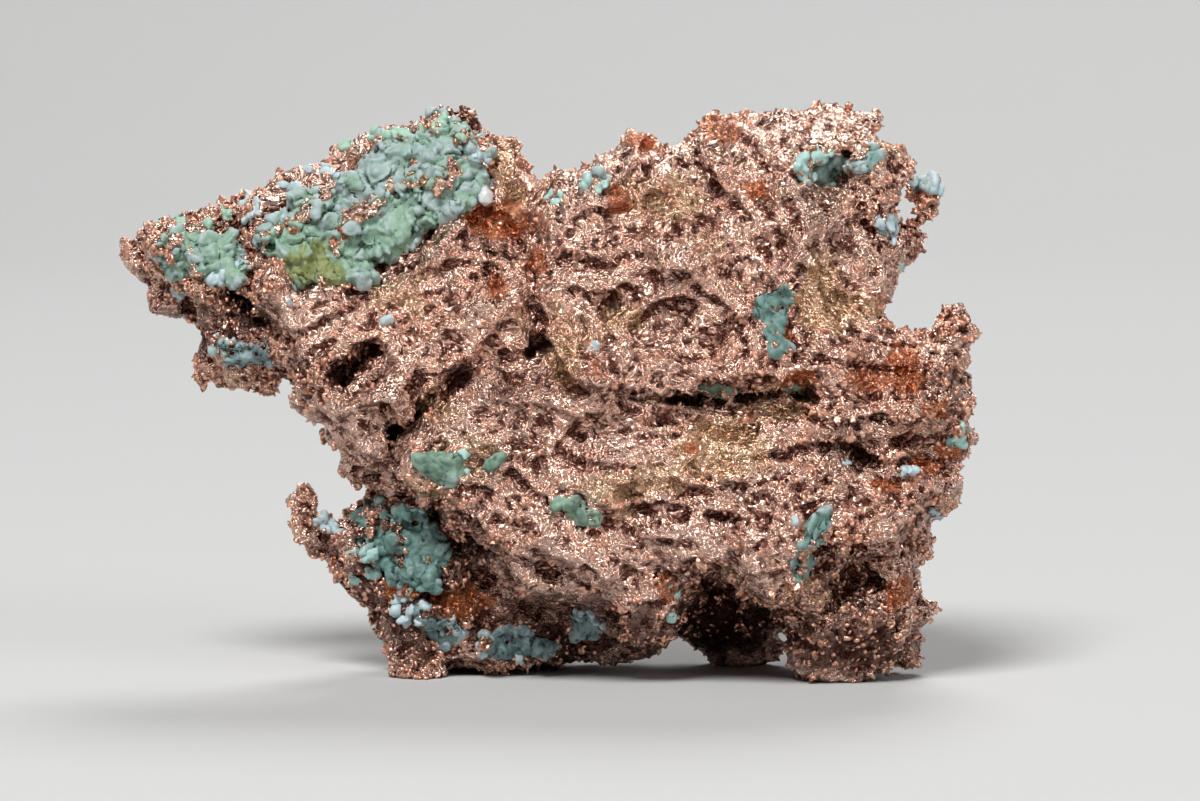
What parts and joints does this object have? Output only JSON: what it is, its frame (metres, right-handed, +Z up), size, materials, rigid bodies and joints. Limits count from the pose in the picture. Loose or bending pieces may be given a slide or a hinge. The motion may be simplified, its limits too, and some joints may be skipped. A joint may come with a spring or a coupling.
{
  "type": "native copper nugget",
  "caption": "Free-standing native copper specimen: a hackly folded copper mass with an arm, claw and prongs, and pale green mineral crusts in its hollows.",
  "frame": {"origin": "under the middle of the bounding box, on the plane that the nugget rests on", "axes": "+X along the length from the arm tip to the right nub, -Y the broad face, +Z up"},
  "size_m": [0.08, 0.034, 0.0534],
  "materials": {
    "native_copper": "bright crumpled natural copper with red-brown tarnish in its hollows",
    "green_crust": "waxy pale green mineral grains",
    "turquoise_crust": "waxy turquoise mineral grains",
    "blue_grey_crust": "waxy blue-grey mineral grains"
  },
  "bodies": {
    "root": {"copper_mass": "native_copper", "upper_arm_crust": "green_crust", "arm_tip_crust": "green_crust", "arm_underside_crust": "blue_grey_crust", "notch_crust": "blue_grey_crust", "upper_pocket_crust": "turquoise_crust", "prong_bud_crust": "blue_grey_crust", "rim_sliver_crust": "blue_grey_crust", "centre_vein_crust": "turquoise_crust", "ledge_crust_left": "green_crust", "ledge_crust_right": "green_crust", "blue_bead": "blue_grey_crust", "cheek_fleck_crust": "green_crust", "left_slot_crust": "green_crust", "belly_crust": "green_crust", "claw_crust_upper": "turquoise_crust", "claw_crust_lower": "blue_grey_crust", "claw_foot_crust": "blue_grey_crust", "claw_side_crust": "blue_grey_crust", "lower_vein_crust": "turquoise_crust", "right_edge_crust": "turquoise_crust", "back_upper_crust": "turquoise_crust", "back_lower_crust": "green_crust", "back_arm_crust": "green_crust", "back_claw_crust": "blue_grey_crust"}
  },
  "joints": []
}
